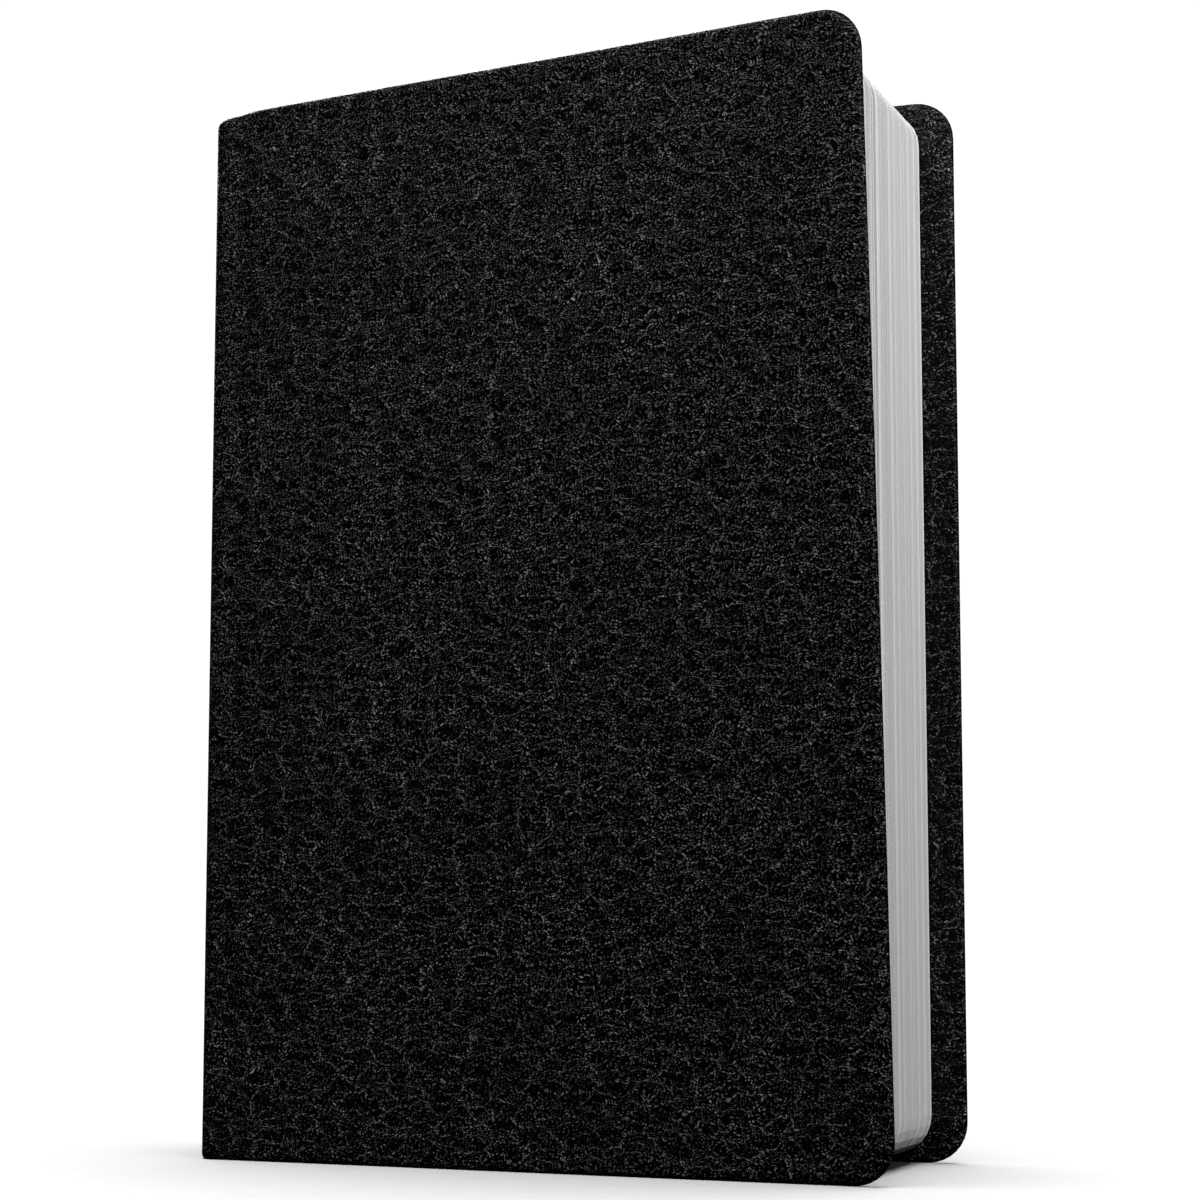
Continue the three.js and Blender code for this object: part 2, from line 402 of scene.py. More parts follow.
def grained_leather():
    """Soft leather with a rolled pebble grain: black, with a small pale highlight painted into the colour
    on top of each pebble.

    The pebbles are under a millimetre across and are strung along the ridges of a wider net of
    creases. Sizes are in millimetres, and noise scales are per millimetre.
    """
    pebble_wide, pebble_tall, net_wide, net_tall, wander = 0.82, 0.56, 7.2, 2.3, 0.85
    drift_scale, pore_scale, zone_scale, patch_scale, patch_squeeze = 0.22, 1.6, 0.035, 0.42, 0.45
    grain_height, ridge_share, pore_share = 0.12 * MM, 0.6, 0.25
    material, tree, shader = new_material("pebbled_black_leather")
    flat = add_node(tree, "ShaderNodeUVMap", uv_map="flat_leather")
    millimetres = add_node(tree, "ShaderNodeVectorMath", {0: flat.outputs["UV"], 1: (1000, 1000, 1000)},
                           operation="MULTIPLY")
    drift = add_node(tree, "ShaderNodeTexNoise", {"Vector": millimetres.outputs[0], "Scale": drift_scale,
                                                  "Detail": 2.0, "Roughness": 0.5}, noise_dimensions="2D")
    centred = add_node(tree, "ShaderNodeVectorMath", {0: drift.outputs["Color"], 1: (0.5, 0.5, 0.5)},
                       operation="SUBTRACT")
    warped = add_node(tree, "ShaderNodeVectorMath", {0: centred.outputs[0], 1: (4 * wander,) * 3,
                                                     2: millimetres.outputs[0]}, operation="MULTIPLY_ADD")
    pebble_place = add_node(tree, "ShaderNodeVectorMath",
                            {0: warped.outputs[0], 1: (1 / pebble_wide, 1 / pebble_tall, 1.0)},
                            operation="MULTIPLY")
    pebbles = add_node(tree, "ShaderNodeTexVoronoi", {"Vector": pebble_place.outputs[0], "Scale": 1.0,
                                                      "Randomness": 0.8},
                       voronoi_dimensions="2D", feature="F1")
    dome = add_node(tree, "ShaderNodeMapRange", {"Value": pebbles.outputs["Distance"], "From Min": 0.0,
                                                 "From Max": 0.62, "To Min": 1.0, "To Max": 0.0},
                    interpolation_type="SMOOTHSTEP")
    net_place = add_node(tree, "ShaderNodeVectorMath",
                         {0: warped.outputs[0], 1: (1 / net_wide, 1 / net_tall, 1.0)},
                         operation="MULTIPLY")
    net = add_node(tree, "ShaderNodeTexVoronoi", {"Vector": net_place.outputs[0], "Scale": 1.0,
                                                  "Randomness": 1.0},
                   voronoi_dimensions="2D", feature="DISTANCE_TO_EDGE")
    ridge = add_node(tree, "ShaderNodeMapRange", {"Value": net.outputs["Distance"], "From Min": 0.03,
                                                  "From Max": 0.18, "To Min": 1.0, "To Max": 0.42},
                     interpolation_type="SMOOTHSTEP")
    pores = add_node(tree, "ShaderNodeTexNoise", {"Vector": millimetres.outputs[0], "Scale": pore_scale,
                                                  "Detail": 2.0}, noise_dimensions="2D")
    with_ridge = add_node(tree, "ShaderNodeMath", {0: ridge.outputs[0], 1: ridge_share,
                                                   2: dome.outputs[0]}, operation="MULTIPLY_ADD")
    relief = add_node(tree, "ShaderNodeMath", {0: pores.outputs["Fac"], 1: pore_share,
                                               2: with_ridge.outputs[0]}, operation="MULTIPLY_ADD")
    bump = add_node(tree, "ShaderNodeBump", {"Height": relief.outputs[0], "Strength": 1.0,
                                             "Distance": grain_height})
    # Painted highlight: a pale spot painted into the colour of each pebble where a glint would sit,
    # brighter on some, on the ridges and in some patches.
    tip = add_node(tree, "ShaderNodeMapRange", {"Value": pebbles.outputs["Distance"], "From Min": 0.06,
                                                "From Max": 0.25, "To Min": 1.0, "To Max": 0.0},
                   interpolation_type="SMOOTHSTEP")
    each = add_node(tree, "ShaderNodeSeparateColor", {"Color": pebbles.outputs["Color"]})
    each_share = add_node(tree, "ShaderNodeMapRange", {"Value": each.outputs["Red"], "From Min": 0.35,
                                                       "From Max": 0.8, "To Min": 0.1})
    zone = add_node(tree, "ShaderNodeTexNoise", {"Vector": millimetres.outputs[0], "Scale": zone_scale,
                                                 "Detail": 2.0}, noise_dimensions="2D")
    zone_share = add_node(tree, "ShaderNodeMapRange", {"Value": zone.outputs["Fac"], "From Min": 0.3,
                                                       "From Max": 0.7, "To Min": 0.7, "To Max": 1.25})
    patch_place = add_node(tree, "ShaderNodeVectorMath",
                           {0: warped.outputs[0], 1: (patch_squeeze, 1.0, 1.0)}, operation="MULTIPLY")
    patch = add_node(tree, "ShaderNodeTexNoise", {"Vector": patch_place.outputs[0], "Scale": patch_scale,
                                                  "Detail": 1.5}, noise_dimensions="2D")
    patch_share = add_node(tree, "ShaderNodeMapRange", {"Value": patch.outputs["Fac"], "From Min": 0.42,
                                                        "From Max": 0.56, "To Min": 0.42})
    tip_patch = add_node(tree, "ShaderNodeMath", {0: tip.outputs[0], 1: patch_share.outputs[0]},
                         operation="MULTIPLY")
    tip_ridge = add_node(tree, "ShaderNodeMath", {0: tip_patch.outputs[0], 1: ridge.outputs[0]},
                         operation="MULTIPLY")
    tip_each = add_node(tree, "ShaderNodeMath", {0: tip_ridge.outputs[0], 1: each_share.outputs[0]},
                        operation="MULTIPLY")
    # Painted highlight: short pale strokes painted along a crease's edge, where a glint would catch the
    # light.
    crease_glint_mask = add_node(tree, "ShaderNodeMapRange", {"Value": net.outputs["Distance"], "From Min": 0.0,
                                                   "From Max": 0.06, "To Min": 1.0, "To Max": 0.0})
    broken = add_node(tree, "ShaderNodeMapRange", {"Value": pores.outputs["Fac"], "From Min": 0.5,
                                                   "From Max": 0.64, "To Max": 0.42})
    painted_crease_glints = add_node(tree, "ShaderNodeMath", {0: crease_glint_mask.outputs[0], 1: broken.outputs[0]},
                       operation="MULTIPLY")
    painted_glint_marks = add_node(tree, "ShaderNodeMath", {0: tip_each.outputs[0], 1: painted_crease_glints.outputs[0]},
                     operation="MAXIMUM")
    painted_glints = add_node(tree, "ShaderNodeMath", {0: painted_glint_marks.outputs[0], 1: zone_share.outputs[0]},
                    operation="MULTIPLY", use_clamp=True)
    # The painted highlights lighten the leather's black base colour here.
    tone = add_node(tree, "ShaderNodeMix", {0: painted_glints.outputs[0], 6: linear("#010101"),
                                            7: linear("#a1a5a4")}, data_type="RGBA")
    gloss = add_node(tree, "ShaderNodeMapRange", {"Value": painted_glints.outputs[0], "To Min": 0.36,
                                                  "To Max": 0.32})
    tree.links.new(tone.outputs[2], shader.inputs["Base Color"])
    tree.links.new(gloss.outputs[0], shader.inputs["Roughness"])
    tree.links.new(bump.outputs[0], shader.inputs["Normal"])
    shader.inputs["IOR"].default_value = 1.45
    shader.inputs["Specular IOR Level"].default_value = 0.12
    return material


leather = grained_leather()
for side, hinge in (("front", front_hinge), ("back", back_hinge)):
    case = half_case(side)
    case.data.materials.append(leather)
    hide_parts(f"{side}_cover_leather", "spine_leather")
    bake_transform(case)

# ---------------------------------------------------------------------------------------------
# Boards under the leather
# Thin flexible grey boards give the covers and the spine their shape. The leather and the
# endpapers cover them almost entirely.
# ---------------------------------------------------------------------------------------------


def millimetre_place(tree):
    """Object coordinates in millimetres."""
    place = add_node(tree, "ShaderNodeTexCoord")
    return add_node(tree, "ShaderNodeVectorMath", {0: place.outputs["Object"], 1: (1000, 1000, 1000)},
                    operation="MULTIPLY").outputs[0]


def fibrous(name, dark, light, fibre, roughness, lift):
    """Paper or board: short fibres a fraction of a millimetre wide over faint clouds, no gloss."""
    cloud_scale, cloud_share = 0.05, 0.35
    material, tree, shader = new_material(name)
    place = millimetre_place(tree)
    fibres = add_node(tree, "ShaderNodeTexNoise", {"Vector": place, "Scale": 1 / fibre, "Detail": 4.0,
                                                   "Roughness": 0.6})
    cloud = add_node(tree, "ShaderNodeTexNoise", {"Vector": place, "Scale": cloud_scale, "Detail": 2.0})
    both = add_node(tree, "ShaderNodeMix", {0: cloud_share, 2: fibres.outputs["Fac"],
                                            3: cloud.outputs["Fac"]})
    tone = add_node(tree, "ShaderNodeMix", {0: both.outputs[0], 6: linear(dark), 7: linear(light)},
                    data_type="RGBA")
    bump = add_node(tree, "ShaderNodeBump", {"Height": fibres.outputs["Fac"], "Strength": 1.0,
                                             "Distance": lift * MM})
    tree.links.new(tone.outputs[2], shader.inputs["Base Color"])
    tree.links.new(bump.outputs[0], shader.inputs["Normal"])
    shader.inputs["Roughness"].default_value = roughness
    return material


def finish_nodes(material, *names):
    """Gives CAD nodes that stay as they are their material."""
    for name in names:
        for slot in frame["nodes"][name].material_slots:
            slot.link = "OBJECT"
            slot.material = material


greyboard = fibrous("pressed_greyboard", "#6f6a63", "#8f8a82", 0.4, 0.9, 0.03)
finish_nodes(greyboard, "front_cover_stiffener", "back_cover_stiffener", "spine_stiffener")

# ---------------------------------------------------------------------------------------------
# Pastedowns
# The outer half of each folded endpaper, glued flat inside a cover over the turned-in leather.
# It steps down by the leather's pared edge and bends with the cover along the hinge.
# ---------------------------------------------------------------------------------------------
paste_margin = 12 * MM
paper = 0.13 * MM
paste_corner = 0.5 * MM
glue_gap = 0.03 * MM
step_width = 1.5 * MM
bend_end = 9.5 * MM
endpaper = fibrous("laid_endpaper", "#c9c6bf", "#e4e1da", 0.35, 0.8, 0.02)


def sheet_rows(low, high, radius, straight):
    """Heights of a sheet's rows, closer together round its two corners."""
    bend = [radius * (1 - math.cos(i * math.pi / 12)) for i in range(7)]
    middle = list(np.linspace(low + radius, high - radius, straight))
    return sorted({round(z, 7) for z in [low + b for b in bend] + middle + [high - b for b in bend]})


def closed_sheet(name, columns, rows, edge_x, place, thickness):
    """A thin closed sheet: place(x, z, depth) puts each point, edge_x(z) is its free edge."""
    mesh = bmesh.new()
    faces_of = []
    for depth in (-thickness / 2, thickness / 2):
        faces_of.append([[mesh.verts.new(place(x, z, depth)) for z in rows for x in [column(edge_x(z))]]
                         for column in columns])
    under, over = faces_of
    last_column, last_row = len(columns) - 1, len(rows) - 1
    for i in range(last_column):
        for j in range(last_row):
            mesh.faces.new((under[i][j], under[i + 1][j], under[i + 1][j + 1], under[i][j + 1]))
            mesh.faces.new((over[i][j], over[i][j + 1], over[i + 1][j + 1], over[i + 1][j]))
        for j in (0, last_row):
            mesh.faces.new((under[i][j], over[i][j], over[i + 1][j], under[i + 1][j]))
    for j in range(last_row):
        for i in (0, last_column):
            mesh.faces.new((under[i][j], under[i][j + 1], over[i][j + 1], over[i][j]))
    bmesh.ops.recalc_face_normals(mesh, faces=mesh.faces)
    data = bpy.data.meshes.new(name)
    mesh.to_mesh(data)
    mesh.free()
    return data


def fixed(x):
    """A column that stays at x, unless the sheet's round corner is already past it."""
    return lambda edge: min(x, edge)


def from_edge(share, start):
    """A column at a share of the way from start to the free edge."""
    return lambda edge: start + share * (edge - start)


def round_edge(edge, low, high, radius):
    """The free edge of a sheet with round corners, as a function of height."""
    def at(z):
        into = max(low + radius - z, z - (high - radius), 0)
        return edge - radius + math.sqrt(max(radius * radius - into * into, 0))
    return at


bend_columns = [fixed(x * MM) for x in (0.5, 1.3, 2.1, 2.9, 3.7, 4.5, 5.3, 6.1, 7, 8)]
bend_columns.append(fixed(bend_end))
for side in ("front", "back"):
    node = f"{side}_pastedown"
    low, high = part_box(node)
    paste_edge = cover_width - paste_margin

    def paste_place(x, z, depth, side=side):
        over_turn_in = max(x - (cover_width - turn_in), turn_in - z, z - (book_height - turn_in), -2 * MM)
        step = smooth_share(over_turn_in + step_width, step_width)
        sunk = (turn_in_thickness - 0.05 * MM) * (1 - step)
        rest = case_depth - sunk + glue_gap + paper / 2
        if side == "front":
            return front_point(x, rest + depth + cover_swell(x, z), z)
        return (back_hinge.x + x, back_hinge.y - rest - depth, z)

    close_rows = {z for i in range(1, 5) for z in (low.z + i * MM, high.z - i * MM)}
    rows = sorted(set(sheet_rows(low.z, high.z, paste_corner, 24)) | close_rows)
    columns = bend_columns + [from_edge(t, bend_end) for t in np.linspace(0.05, 0.95, 18)]
    columns += [fixed(paste_edge - x * MM) for x in (4, 3, 2, 1)]
    columns += [from_edge(1.0, bend_end)]
    sheet = closed_sheet(node + "_sheet", columns, rows,
                         round_edge(paste_edge, low.z, high.z, paste_corner), paste_place, paper)
    piece = new_object(node + "_sheet", sheet)
    piece.data.materials.append(endpaper)
    hinge = front_hinge if side == "front" else back_hinge
    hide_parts(node)
    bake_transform(piece)

# ---------------------------------------------------------------------------------------------
# Flyleaves
# The free half of each folded endpaper. It springs from the fold in the hinge, lies next to the
# leaves, and lifts a little with the open front cover.
# ---------------------------------------------------------------------------------------------
leaf_corner = 8 * MM
tail_opening = math.radians(-joints["front_cover_hinge"]["range_deg"][0])
flyleaf_depth = 2.4 * MM
flyleaf_wave = 0.12 * MM


def turned(x, depth, turn):
    """A point of a sheet turned about its hinge line, with the easing of a blended piece."""
    eased = turn * smooth_share(x, flex_width)
    return x * math.cos(eased) + depth * math.sin(eased), -x * math.sin(eased) + depth * math.cos(eased)


for side in ("front", "back"):
    node = f"{side}_flyleaf"
    low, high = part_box(node)
    turn_joint = joints[f"{side}_flyleaf_turn"]
    hinge = Vector(turn_joint["pos_m"])
    share = turn_joint["range_deg"][1] / joints[f"{side}_cover_hinge"]["range_deg"][1]
    rest_turn = share * tail_opening if side == "front" else 0.0
    fly_edge = (high.x - hinge.x) / math.cos(rest_turn)

    def fly_place(x, z, depth, side=side, hinge=hinge, rest_turn=rest_turn):
        wave = flyleaf_wave * math.sin(x / (23 * MM) + z / (50 * MM)) * smooth_share(x - 4 * MM, 30 * MM)
        from_case = flyleaf_depth + depth + (wave if side == "front" else 0)
        dx, dy = turned(x, from_case, rest_turn)
        return (hinge.x + dx, hinge.y + dy, z) if side == "front" else (hinge.x + dx, hinge.y - dy, z)

    columns = bend_columns + [from_edge(t, bend_end) for t in np.linspace(0.06, 1.0, 16)]
    rows = sheet_rows(low.z, high.z, leaf_corner, 20)
    sheet = closed_sheet(node + "_sheet", columns, rows,
                         round_edge(fly_edge, low.z, high.z, leaf_corner), fly_place, paper)
    sheet.shade_smooth()
    piece = new_object(node + "_sheet", sheet)
    piece.data.materials.append(endpaper)
    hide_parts(node)
    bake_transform(piece)

# ---------------------------------------------------------------------------------------------
# Sections of leaves
# Fifteen sewn sections of thin printing paper, trimmed with round fore-edge corners. Each one is
# drawn as a fan of separate leaves, fewer and thicker than real ones so that they show.
# ---------------------------------------------------------------------------------------------
leaves_in_section = 12
section_pitch = 2.7 * MM
leaf_pitch = section_pitch / leaves_in_section
leaf_thickness = 0.2 * MM
edge_unevenness, leaf_waviness, ripples_per_metre = 0.12 * MM, 0.05 * MM, 22.0
fan_spread, first_still_turn = 0.05, 0.03
first_seed, seed_step = 11, 50.0


def geometry_tree(name, inputs):
    """A Geometry Nodes tree with named inputs; returns the tree and its input and output nodes."""
    tree = bpy.data.node_groups.new(name, "GeometryNodeTree")
    tree.interface.new_socket("Geometry", in_out="INPUT", socket_type="NodeSocketGeometry")
    for label, kind in inputs:
        tree.interface.new_socket(label, in_out="INPUT", socket_type=f"NodeSocket{kind}")
    tree.interface.new_socket("Geometry", in_out="OUTPUT", socket_type="NodeSocketGeometry")
    return tree, add_node(tree, "NodeGroupInput"), add_node(tree, "NodeGroupOutput")


def run_tree(name, base, tree, values):
    """Runs a tree on a base mesh or curve and returns the result as a plain mesh object."""
    holder = new_object(name + "_base", base)
    modifier = holder.modifiers.new(tree.name, "NODES")
    modifier.node_group = tree
    for item in tree.interface.items_tree:
        if item.in_out == "INPUT" and item.name in values:
            modifier[item.identifier] = values[item.name]
    evaluated = holder.evaluated_get(bpy.context.evaluated_depsgraph_get())
    mesh = bpy.data.meshes.new_from_object(evaluated)
    mesh.name = name
    holder.modifiers.remove(modifier)
    bpy.data.objects.remove(holder)
    return new_object(name, mesh)


fan, given, result = geometry_tree("fanned_leaves", [
    ("Leaf Count", "Int"), ("Leaf Pitch", "Float"), ("First Turn", "Float"), ("Last Turn", "Float"),
    ("Edge Unevenness", "Float"), ("Waviness", "Float"), ("Axis", "Vector"), ("Seed", "Int"),
    ("Paper", "Material")])
step = add_node(fan, "ShaderNodeCombineXYZ", {"Y": given.outputs["Leaf Pitch"]})
row = add_node(fan, "GeometryNodeMeshLine", {"Count": given.outputs["Leaf Count"],
                                             "Offset": step.outputs[0]})
own_tone = add_node(fan, "FunctionNodeRandomValue", {"Seed": given.outputs["Seed"]}, data_type="FLOAT")
toned = add_node(fan, "GeometryNodeStoreNamedAttribute",
                 {"Geometry": row.outputs["Mesh"], "Name": "leaf_tone", "Value": own_tone.outputs[1]},
                 data_type="FLOAT", domain="POINT")
number = add_node(fan, "GeometryNodeInputIndex")
last = add_node(fan, "ShaderNodeMath", {0: given.outputs["Leaf Count"], 1: 1.0}, operation="SUBTRACT")
turn = add_node(fan, "ShaderNodeMapRange", {"Value": number.outputs[0], "From Max": last.outputs[0],
                                            "To Min": given.outputs["First Turn"],
                                            "To Max": given.outputs["Last Turn"]})
turn_about = add_node(fan, "ShaderNodeCombineXYZ", {"Z": turn.outputs[0]})
turn_by = add_node(fan, "FunctionNodeEulerToRotation", {0: turn_about.outputs[0]})
fanned = add_node(fan, "GeometryNodeInstanceOnPoints",
                  {"Points": toned.outputs[0], "Instance": given.outputs["Geometry"],
                   "Rotation": turn_by.outputs[0]})
lower = add_node(fan, "ShaderNodeMath", {0: given.outputs["Edge Unevenness"], 1: -1.0},
                 operation="MULTIPLY")
second_seed = add_node(fan, "ShaderNodeMath", {0: given.outputs["Seed"], 1: seed_step}, operation="ADD")
knock = add_node(fan, "FunctionNodeRandomValue",
                 {2: lower.outputs[0], 3: given.outputs["Edge Unevenness"],
                  "Seed": second_seed.outputs[0]}, data_type="FLOAT")
knock_by = add_node(fan, "ShaderNodeCombineXYZ", {"X": knock.outputs[1]})
knocked = add_node(fan, "GeometryNodeTranslateInstances", {"Instances": fanned.outputs[0],
                                                           "Translation": knock_by.outputs[0]})
apart = add_node(fan, "GeometryNodeRealizeInstances", {"Geometry": knocked.outputs[0]})
moved = add_node(fan, "GeometryNodeTransform", {"Geometry": apart.outputs[0],
                                                "Translation": given.outputs["Axis"]})
where = add_node(fan, "GeometryNodeInputPosition")
level = add_node(fan, "ShaderNodeVectorMath", {0: where.outputs[0], 1: (1.0, 0.0, 0.6)},
                 operation="MULTIPLY")
ripple = add_node(fan, "ShaderNodeTexNoise", {"Vector": level.outputs[0], "Scale": ripples_per_metre,
                                              "Detail": 1.0})
ripple_height = add_node(fan, "ShaderNodeMapRange", {"Value": ripple.outputs["Fac"], "To Min": -1.0})
ripple_by = add_node(fan, "ShaderNodeMath", {0: ripple_height.outputs[0], 1: given.outputs["Waviness"]},
                     operation="MULTIPLY")
ripple_move = add_node(fan, "ShaderNodeCombineXYZ", {"Y": ripple_by.outputs[0]})
rippled = add_node(fan, "GeometryNodeSetPosition", {"Geometry": moved.outputs[0],
                                                    "Offset": ripple_move.outputs[0]})
papered = add_node(fan, "GeometryNodeSetMaterial", {"Geometry": rippled.outputs[0],
                                                    "Material": given.outputs["Paper"]})
fan.links.new(papered.outputs[0], result.inputs["Geometry"])


def printing_paper():
    """Thin smooth printing paper: each leaf's cut edge catches the light a little differently.

    Faint bands about a millimetre wide run up the block, where a few leaves together are whiter.
    """
    fibre_scale, band_scale, band_share, fibre_share, fibre_lift = 3.0, 0.9, 0.45, 0.12, 0.003 * MM
    material, tree, shader = new_material("thin_printing_paper")
    place = millimetre_place(tree)
    own = add_node(tree, "ShaderNodeAttribute", attribute_name="leaf_tone")
    fibres = add_node(tree, "ShaderNodeTexNoise", {"Vector": place, "Scale": fibre_scale, "Detail": 3.0})
    across = add_node(tree, "ShaderNodeSeparateXYZ", {"Vector": place})
    long_place = add_node(tree, "ShaderNodeCombineXYZ", {"X": across.outputs["Y"]})
    bands = add_node(tree, "ShaderNodeTexNoise", {"Vector": long_place.outputs[0], "Scale": band_scale,
                                                  "Detail": 3.0, "Roughness": 0.7})
    mixed = add_node(tree, "ShaderNodeMix", {0: band_share, 2: own.outputs["Fac"], 3: bands.outputs["Fac"]})
    with_fibres = add_node(tree, "ShaderNodeMix", {0: fibre_share, 2: mixed.outputs[0],
                                                   3: fibres.outputs["Fac"]})
    tone = add_node(tree, "ShaderNodeMix", {0: with_fibres.outputs[0], 6: linear("#a4a6a8"),
                                            7: linear("#fbfbfa")}, data_type="RGBA")
    bump = add_node(tree, "ShaderNodeBump", {"Height": fibres.outputs["Fac"], "Strength": 1.0,
                                             "Distance": fibre_lift})
    tree.links.new(tone.outputs[2], shader.inputs["Base Color"])
    tree.links.new(bump.outputs[0], shader.inputs["Normal"])
    shader.inputs["Roughness"].default_value = 0.62
    return material


leaf_paper = printing_paper()
block_low, block_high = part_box("section_08")
leaf_edge = block_high.x - front_hinge.x
leaf_rows = sheet_rows(block_low.z, block_high.z, leaf_corner, 12)
section_names = sorted({name[:10] for name in frame["nodes"] if name.startswith("section_")})
middle_of = {name: (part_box(name)[0].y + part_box(name)[1].y) / 2 if name in frame["nodes"]
             else joints[name + "_turn"]["pos_m"][1] for name in section_names}
for number_in_book, name in enumerate(section_names):
    nodes = [n for n in frame["nodes"] if n.startswith(name)]
    fold_x = min(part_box(n)[0].x for n in nodes) - front_hinge.x + 0.15 * MM
    joint = joints.get(name + "_turn")
    moving_forward = joint is not None and joint["axis"][2] < 0
    share = joint["range_deg"][1] / joints["front_cover_hinge"]["range_deg"][1] if moving_forward else 0
    spread = fan_spread if moving_forward else 0
    first = share + (spread if number_in_book else 0)
    final = share - spread
    # The first fixed section opens a little towards the ones that turn.
    if name == "section_06":
        first = first_still_turn
    columns = [fixed(fold_x)] + [fixed(x * MM) for x in range(1, 9)] + [fixed(bend_end)]
    columns += [from_edge(t, bend_end) for t in (0.3, 0.6, 0.85, 1.0)]
    leaf = closed_sheet("leaf", columns, leaf_rows,
                        round_edge(leaf_edge - edge_unevenness, block_low.z, block_high.z, leaf_corner),
                        lambda x, z, depth: (x, depth, z), leaf_thickness)
    middle = middle_of[name]
    piece = run_tree(name + "_fan", leaf, fan, {
        "Leaf Count": leaves_in_section, "Leaf Pitch": leaf_pitch, "Seed": first_seed + number_in_book,
        "First Turn": -first * tail_opening, "Last Turn": -final * tail_opening,
        "Edge Unevenness": edge_unevenness, "Waviness": leaf_waviness, "Paper": leaf_paper,
        "Axis": (front_hinge.x, middle - (leaves_in_section - 1) / 2 * leaf_pitch, 0.0)})
    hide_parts(*nodes)
    if joint:
        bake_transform(piece)
    else:
        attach(piece, "spine_and_block")

# ---------------------------------------------------------------------------------------------
# Spine linings and sewing
# Behind the folds run three woven tapes and the linen thread of the kettle stitches, then mull
# (an open starched cotton gauze) and kraft paper glued over them.
# ---------------------------------------------------------------------------------------------


def woven(name, dark, light, thread, gloss, lift):
    """Plain weave: warp and weft threads that cross, as wide as the real thread spacing."""
    slub_scale, slub_share = 1.5, 0.4
    material, tree, shader = new_material(name)
    place = millimetre_place(tree)
    parts = add_node(tree, "ShaderNodeSeparateXYZ", {"Vector": place})
    waves = []
    for axis in ("Y", "Z"):
        angle = add_node(tree, "ShaderNodeMath", {0: parts.outputs[axis], 1: math.pi / thread},
                         operation="MULTIPLY")
        waves.append(add_node(tree, "ShaderNodeMath", {0: angle.outputs[0]}, operation="SINE"))
    weave = add_node(tree, "ShaderNodeMath", {0: waves[0].outputs[0], 1: waves[1].outputs[0]},
                     operation="MULTIPLY")
    height = add_node(tree, "ShaderNodeMapRange", {"Value": weave.outputs[0], "From Min": -1.0})
    slub = add_node(tree, "ShaderNodeTexNoise", {"Vector": place, "Scale": slub_scale, "Detail": 3.0})
    level = add_node(tree, "ShaderNodeMix", {0: slub_share, 2: height.outputs[0], 3: slub.outputs["Fac"]})
    tone = add_node(tree, "ShaderNodeMix", {0: level.outputs[0], 6: linear(dark), 7: linear(light)},
                    data_type="RGBA")
    bump = add_node(tree, "ShaderNodeBump", {"Height": level.outputs[0], "Strength": 1.0,
                                             "Distance": lift * MM})
    tree.links.new(tone.outputs[2], shader.inputs["Base Color"])
    tree.links.new(bump.outputs[0], shader.inputs["Normal"])
    shader.inputs["Roughness"].default_value = gloss
    return material


finish_nodes(fibrous("brown_kraft_paper", "#8a6a47", "#a98759", 0.3, 0.85, 0.02), "spine_paper_lining")
finish_nodes(woven("starched_cotton_mull", "#b9b2a2", "#e3decf", 0.8, 0.85, 0.08), "spine_mull")
finish_nodes(woven("bleached_cotton_tape", "#cfcabd", "#efebe0", 0.45, 0.8, 0.06),
             *[n for n in frame["nodes"] if n.startswith("sewing_tape")])
finish_nodes(woven("waxed_linen_thread", "#c2b79c", "#e6dcc4", 0.3, 0.55, 0.03),
             *[n for n in frame["nodes"] if n.startswith("kettle_stitch")])

# ---------------------------------------------------------------------------------------------
# Headband and tailband
# A cord core across each end of the block's back, closely wound with silky mercerised cotton in
# two tones. It follows the curve of the spine and is glued to the mull.
# ---------------------------------------------------------------------------------------------
wrap_pitch, wrap_thread = 0.42 * MM, 0.21 * MM
winding_depth = 1.6 * wrap_thread
core_sides, ring_sides, thread_sides = 10, 14, 6
band_end, station_reach, band_stations = 0.4 * MM, 1.6 * MM, 28
wound, given, result = geometry_tree("thread_winding", [
    ("Core Radius", "Float"), ("Thread Radius", "Float"), ("Winding Pitch", "Float"),
    ("Thread", "Material")])
core_profile = add_node(wound, "GeometryNodeCurvePrimitiveCircle",
                        {"Resolution": core_sides, "Radius": given.outputs["Core Radius"]})
core = add_node(wound, "GeometryNodeCurveToMesh", {"Curve": given.outputs["Geometry"],
                                                   "Profile Curve": core_profile.outputs["Curve"],
                                                   "Fill Caps": True})
stations = add_node(wound, "GeometryNodeCurveToPoints", {"Curve": given.outputs["Geometry"],
                                                         "Length": given.outputs["Winding Pitch"]},
                    mode="LENGTH")
ring_path = add_node(wound, "GeometryNodeCurvePrimitiveCircle",
                     {"Resolution": ring_sides, "Radius": given.outputs["Core Radius"]})
ring_profile = add_node(wound, "GeometryNodeCurvePrimitiveCircle",
                        {"Resolution": thread_sides, "Radius": given.outputs["Thread Radius"]})
ring = add_node(wound, "GeometryNodeCurveToMesh", {"Curve": ring_path.outputs["Curve"],
                                                   "Profile Curve": ring_profile.outputs["Curve"]})
turns = add_node(wound, "GeometryNodeInstanceOnPoints",
                 {"Points": stations.outputs["Points"], "Instance": ring.outputs["Mesh"],
                  "Rotation": stations.outputs["Rotation"]})
joined = add_node(wound, "GeometryNodeJoinGeometry")
wound.links.new(core.outputs["Mesh"], joined.inputs[0])
wound.links.new(turns.outputs[0], joined.inputs[0])
single = add_node(wound, "GeometryNodeRealizeInstances", {"Geometry": joined.outputs[0]})
threaded = add_node(wound, "GeometryNodeSetMaterial", {"Geometry": single.outputs[0],
                                                       "Material": given.outputs["Thread"]})
wound.links.new(threaded.outputs[0], result.inputs["Geometry"])


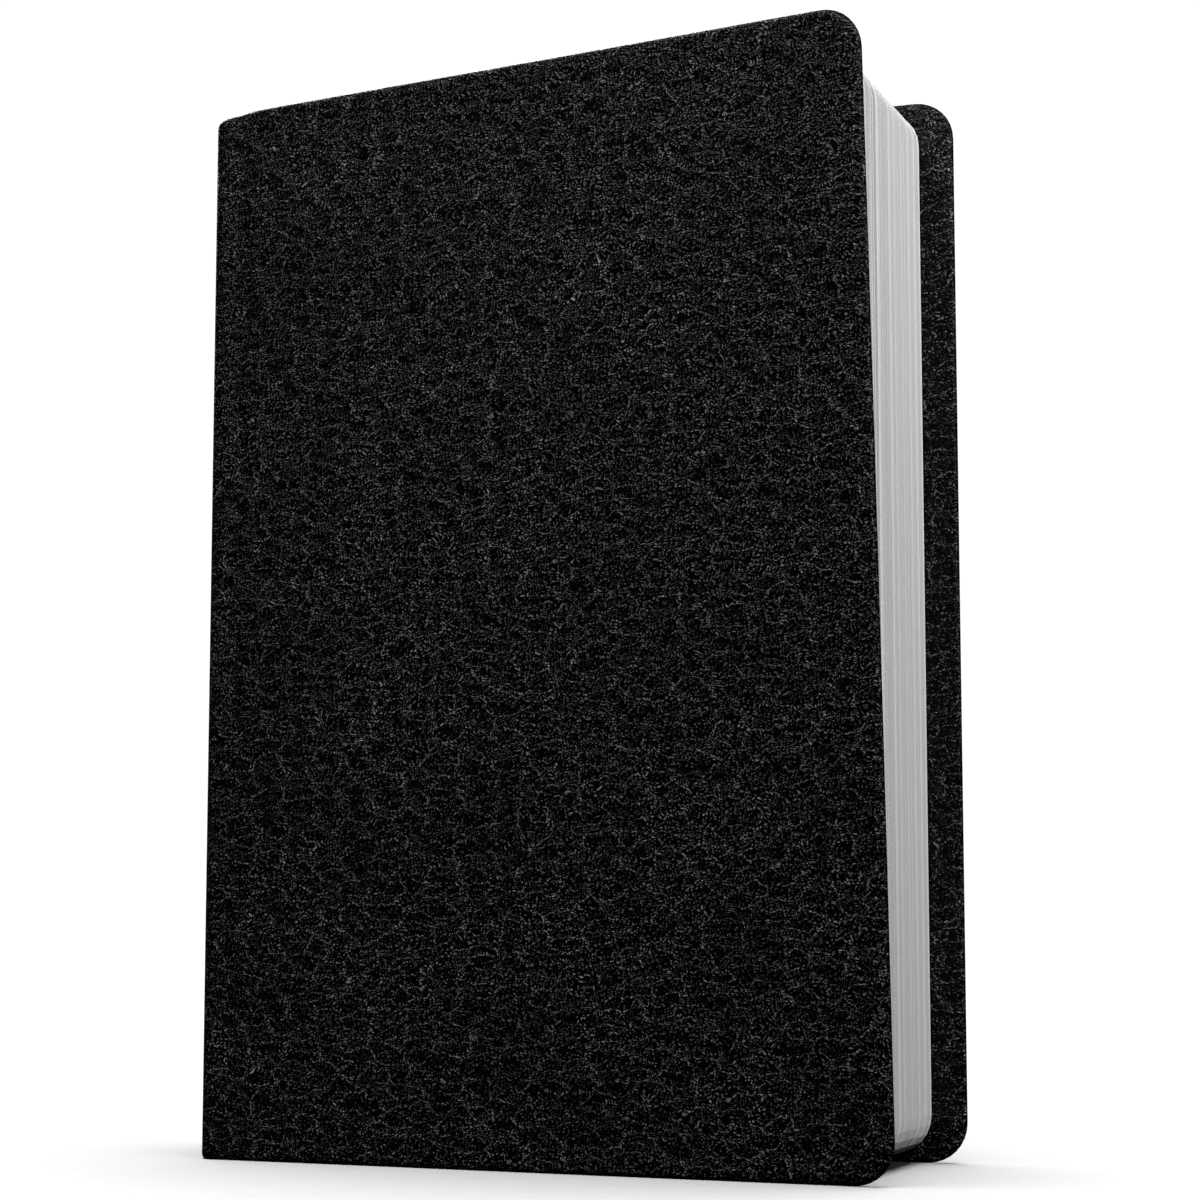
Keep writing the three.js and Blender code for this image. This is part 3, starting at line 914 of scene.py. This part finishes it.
def silky_thread():
    """Mercerised thread: slightly glossy, in stripes that change between pale and dark grey."""
    stripe_length, ply_scale, ply_lift = 3.4, 6.0, 0.03 * MM
    material, tree, shader = new_material("mercerised_band_thread")
    place = millimetre_place(tree)
    parts = add_node(tree, "ShaderNodeSeparateXYZ", {"Vector": place})
    along = add_node(tree, "ShaderNodeMath", {0: parts.outputs["Y"], 1: 2 * math.pi / stripe_length},
                     operation="MULTIPLY")
    wave = add_node(tree, "ShaderNodeMath", {0: along.outputs[0]}, operation="SINE")
    stripe = add_node(tree, "ShaderNodeMapRange", {"Value": wave.outputs[0], "From Min": -0.2,
                                                   "From Max": 0.2}, interpolation_type="SMOOTHSTEP")
    ply = add_node(tree, "ShaderNodeTexNoise", {"Vector": place, "Scale": ply_scale, "Detail": 2.0})
    tone = add_node(tree, "ShaderNodeMix", {0: stripe.outputs[0], 6: linear("#3a3a3c"),
                                            7: linear("#dcd8cf")}, data_type="RGBA")
    bump = add_node(tree, "ShaderNodeBump", {"Height": ply.outputs["Fac"], "Strength": 1.0,
                                             "Distance": ply_lift})
    tree.links.new(tone.outputs[2], shader.inputs["Base Color"])
    tree.links.new(bump.outputs[0], shader.inputs["Normal"])
    shader.inputs["Roughness"].default_value = 0.42
    return material


band_thread = silky_thread()
for name in ("headband", "tailband"):
    low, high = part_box(name)
    radius = (high.z - low.z) / 2
    vertices = np.array([v.co for v in frame["nodes"][name].data.vertices])
    route = []
    for y in np.linspace(low.y + band_end, high.y - band_end, band_stations):
        near = vertices[abs(vertices[:, 1] - y) < station_reach]
        weight = station_reach - abs(near[:, 1] - y)
        route.append((float((near[:, 0] * weight).sum() / weight.sum()), y, (low.z + high.z) / 2))
    path = bpy.data.curves.new(name + "_core", "CURVE")
    path.dimensions = "3D"
    spline = path.splines.new("POLY")
    spline.points.add(len(route) - 1)
    for point, place in zip(spline.points, route):
        point.co = (*place, 1)
    piece = run_tree(name + "_winding", path, wound, {
        "Core Radius": radius - winding_depth, "Thread Radius": wrap_thread / 2,
        "Winding Pitch": wrap_pitch, "Thread": band_thread})
    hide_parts(name)
    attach(piece, "spine_and_block")
